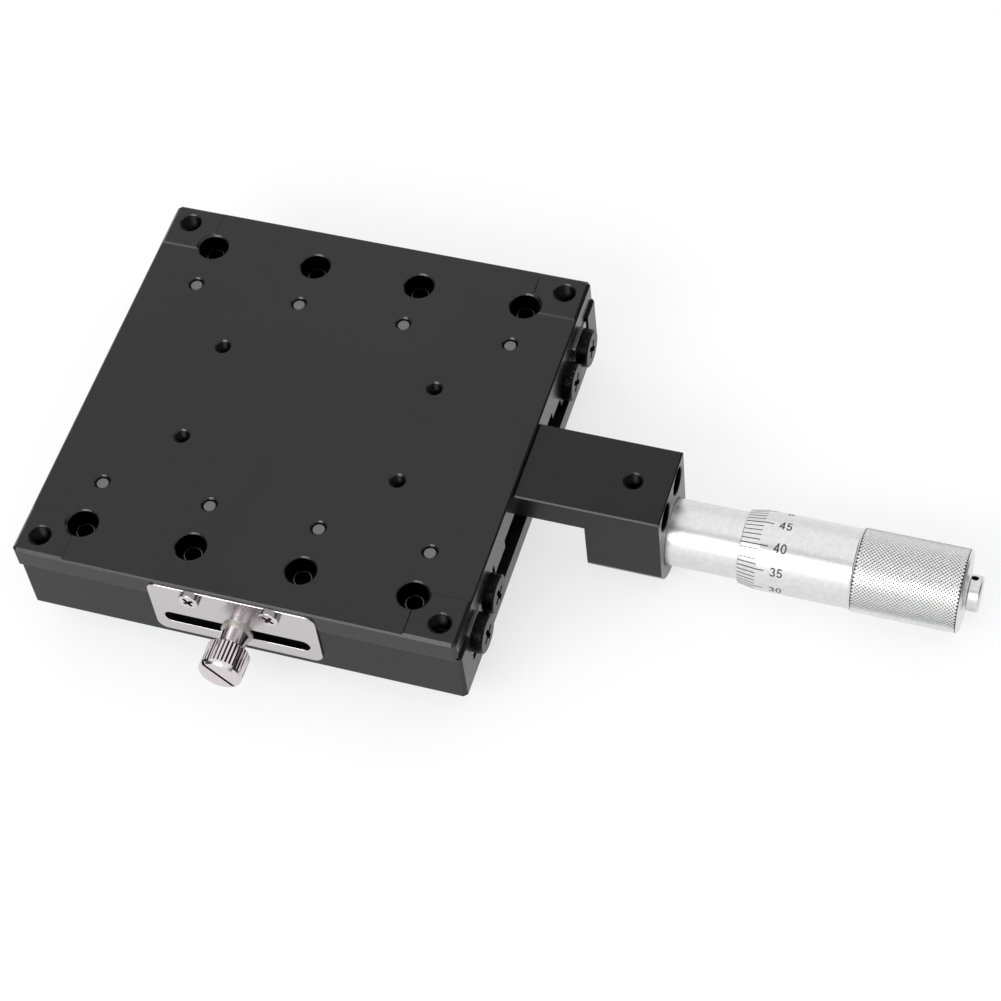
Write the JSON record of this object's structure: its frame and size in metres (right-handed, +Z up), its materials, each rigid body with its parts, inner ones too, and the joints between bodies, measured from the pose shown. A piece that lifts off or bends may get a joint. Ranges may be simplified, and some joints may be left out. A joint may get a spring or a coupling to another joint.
{
  "type": "crossed roller linear stage",
  "caption": "Linear stage: square table on crossed roller rails over a channel base, moved by a large micrometer head on an end bracket, with a thumb screw lock plate.",
  "frame": {"origin": "centre of the base plate's bottom face", "axes": "+X is the direction of travel and points to the micrometer, +Y points to the back, away from the lock, +Z is up"},
  "size_m": [0.2518, 0.1398, 0.0348],
  "materials": {
    "base_black": "black anodised, fine machined",
    "table_black": "black anodised, fine machined",
    "bracket_black": "black anodised, fine machined",
    "rail_steel": "ground hardened steel",
    "socket_screw": "black oxide steel",
    "end_screw": "worn black oxide steel",
    "cage_brass": "rolled sheet",
    "roller_steel": "lapped bearing steel",
    "plate_stainless": "fine brushed stainless steel",
    "plated_screw": "bright nickel plated steel",
    "washer_grey": "matte grey zinc plated",
    "thumb_nickel": "bright nickel plated, straight knurled",
    "pin_steel": "ground steel",
    "spring_wire": "drawn spring wire",
    "barrel_chrome": "satin chrome",
    "nut_brass": "turned brass",
    "spindle_steel": "ground hardened steel",
    "thimble_chrome": "satin chrome with black graduations",
    "grip_chrome": "satin chrome, diamond knurled",
    "cap_chrome": "satin chrome",
    "graduation_ink": "black filled engraving"
  },
  "bodies": {
    "base": {"base_plate": "base_black", "outer_rail_front": "rail_steel", "outer_rail_back": "rail_steel", "outer_rail_screws": "socket_screw", "base_end_screws": "end_screw", "preload_screws": "socket_screw", "anvil": "roller_steel", "base_spring_pins": "pin_steel"},
    "table": {"table_plate": "table_black", "inner_rail_front": "rail_steel", "inner_rail_back": "rail_steel", "inner_rail_screws": "socket_screw", "table_end_screws": "end_screw", "table_spring_pins": "pin_steel", "bracket": "bracket_black", "bracket_screws": "socket_screw", "clamp_screw": "socket_screw", "lock_plate": "plate_stainless", "lock_plate_screws": "plated_screw", "micrometer_barrel": "barrel_chrome", "micrometer_nut": "nut_brass", "spring_front": "spring_wire", "spring_back": "spring_wire"},
    "cage_front_set": {"cage_front": "cage_brass", "rollers_front": "roller_steel"},
    "cage_back_set": {"cage_back": "cage_brass", "rollers_back": "roller_steel"},
    "thimble": {"spindle": "spindle_steel", "thimble_sleeve": "thimble_chrome", "thimble_grip": "grip_chrome", "thimble_cap": "cap_chrome"},
    "washer": {"lock_washer": "washer_grey"},
    "thumb": {"thumb_screw": "thumb_nickel"}
  },
  "joints": [
    {"name": "thimble_turn", "type": "hinge", "parent": "base", "child": "thimble", "pos_m": [0.15, 0, 0.0037], "axis": [1, 0, 0], "range_deg": [-9620, 8381]},
    {"name": "table_slide", "type": "slide", "parent": "base", "child": "table", "axis": [1, 0, 0], "range_m": [-0.01164, 0.01336], "deforming": ["spring_front", "spring_back"]},
    {"name": "cage_front_slide", "type": "slide", "parent": "base", "child": "cage_front_set", "axis": [1, 0, 0], "range_m": [-0.00582, 0.00668]},
    {"name": "cage_back_slide", "type": "slide", "parent": "base", "child": "cage_back_set", "axis": [1, 0, 0], "range_m": [-0.00582, 0.00668]},
    {"name": "lock_feed", "type": "slide", "parent": "base", "child": "washer", "axis": [0, -1, 0], "range_m": [0, 0.0007]},
    {"name": "lock_turn", "type": "hinge", "parent": "washer", "child": "thumb", "pos_m": [-0.0007, -0.07, 0.0093], "axis": [0, -1, 0], "range_deg": [0, 360]}
  ],
  "couplings": [
    {"joint": "thimble_turn", "follows": "table_slide", "rad_per_m": -12566},
    {"joint": "cage_front_slide", "follows": "table_slide", "ratio": 0.5},
    {"joint": "cage_back_slide", "follows": "table_slide", "ratio": 0.5},
    {"joint": "lock_feed", "follows": "lock_turn", "m_per_rad": 0.00011141}
  ]
}
